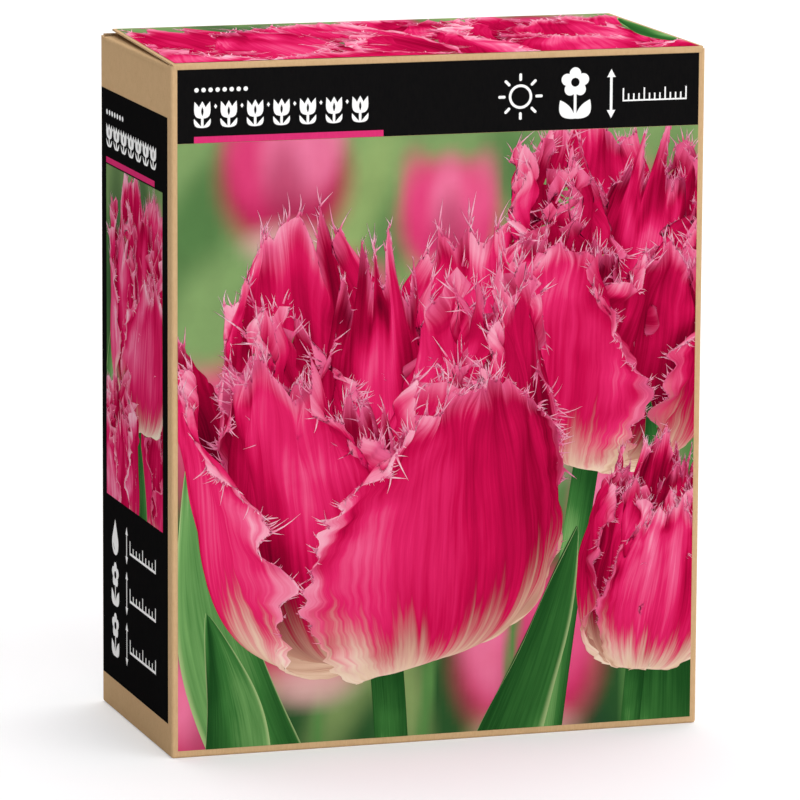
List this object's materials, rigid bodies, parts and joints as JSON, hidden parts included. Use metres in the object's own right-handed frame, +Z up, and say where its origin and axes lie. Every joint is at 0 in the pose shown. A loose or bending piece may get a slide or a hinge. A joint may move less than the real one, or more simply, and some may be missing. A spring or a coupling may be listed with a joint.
{
  "type": "printed bulb carton",
  "caption": "Upright kraft tuck-top carton with printed panels, a hinged lid with a tuck flap, dust flaps under it, and loose flower bulbs inside.",
  "frame": {"origin": "middle of the carton's base, on the surface it stands on", "axes": "+Z up; -Y out of the front panel, where the lid is hinged; +X to the right seen from the front"},
  "size_m": [0.152, 0.073, 0.1912],
  "materials": {
    "kraft_board": "matte",
    "kraft_board_inside": "matte",
    "bulb_tunic": "satin"
  },
  "bodies": {
    "carton": {"sleeve": "kraft_board", "bottom_outer_flap": "kraft_board", "bottom_inner_flap": "kraft_board", "bottom_dust_flap_left": "kraft_board_inside", "bottom_dust_flap_right": "kraft_board_inside", "bulb_01": "bulb_tunic", "bulb_02": "bulb_tunic", "bulb_03": "bulb_tunic", "bulb_04": "bulb_tunic", "bulb_05": "bulb_tunic", "bulb_06": "bulb_tunic", "bulb_07": "bulb_tunic", "bulb_08": "bulb_tunic", "bulb_09": "bulb_tunic", "bulb_10": "bulb_tunic", "bulb_11": "bulb_tunic", "bulb_12": "bulb_tunic", "bulb_13": "bulb_tunic", "bulb_14": "bulb_tunic", "bulb_15": "bulb_tunic", "bulb_16": "bulb_tunic", "bulb_17": "bulb_tunic", "bulb_18": "bulb_tunic", "bulb_19": "bulb_tunic", "bulb_20": "bulb_tunic", "bulb_21": "bulb_tunic", "bulb_22": "bulb_tunic", "bulb_23": "bulb_tunic", "bulb_24": "bulb_tunic", "bulb_25": "bulb_tunic", "bulb_26": "bulb_tunic", "bulb_27": "bulb_tunic", "bulb_28": "bulb_tunic", "bulb_29": "bulb_tunic", "bulb_30": "bulb_tunic"},
    "lid": {"lid_panel": "kraft_board"},
    "tuck": {"tuck_flap": "kraft_board"},
    "dust_left": {"dust_flap_left": "kraft_board_inside"},
    "dust_right": {"dust_flap_right": "kraft_board_inside"}
  },
  "joints": [
    {"name": "lid_fold", "type": "hinge", "parent": "carton", "child": "lid", "pos_m": [0, -0.0359, 0.1894], "axis": [1, 0, 0], "range_deg": [0, 170]},
    {"name": "tuck_fold", "type": "hinge", "parent": "lid", "child": "tuck", "pos_m": [0, 0.03499, 0.19064], "axis": [1, 0, 0], "range_deg": [0, 52]},
    {"name": "dust_left_fold", "type": "hinge", "parent": "carton", "child": "dust_left", "pos_m": [-0.0754, 0, 0.1885], "axis": [0, -1, 0], "range_deg": [0, 103]},
    {"name": "dust_right_fold", "type": "hinge", "parent": "carton", "child": "dust_right", "pos_m": [0.0754, 0, 0.1885], "axis": [0, 1, 0], "range_deg": [0, 103]}
  ],
  "couplings": [
    {"joint": "tuck_fold", "follows": "lid_fold", "ratio": 0.3},
    {"joint": "dust_left_fold", "follows": "lid_fold", "ratio": 0.6},
    {"joint": "dust_right_fold", "follows": "lid_fold", "ratio": 0.6}
  ]
}
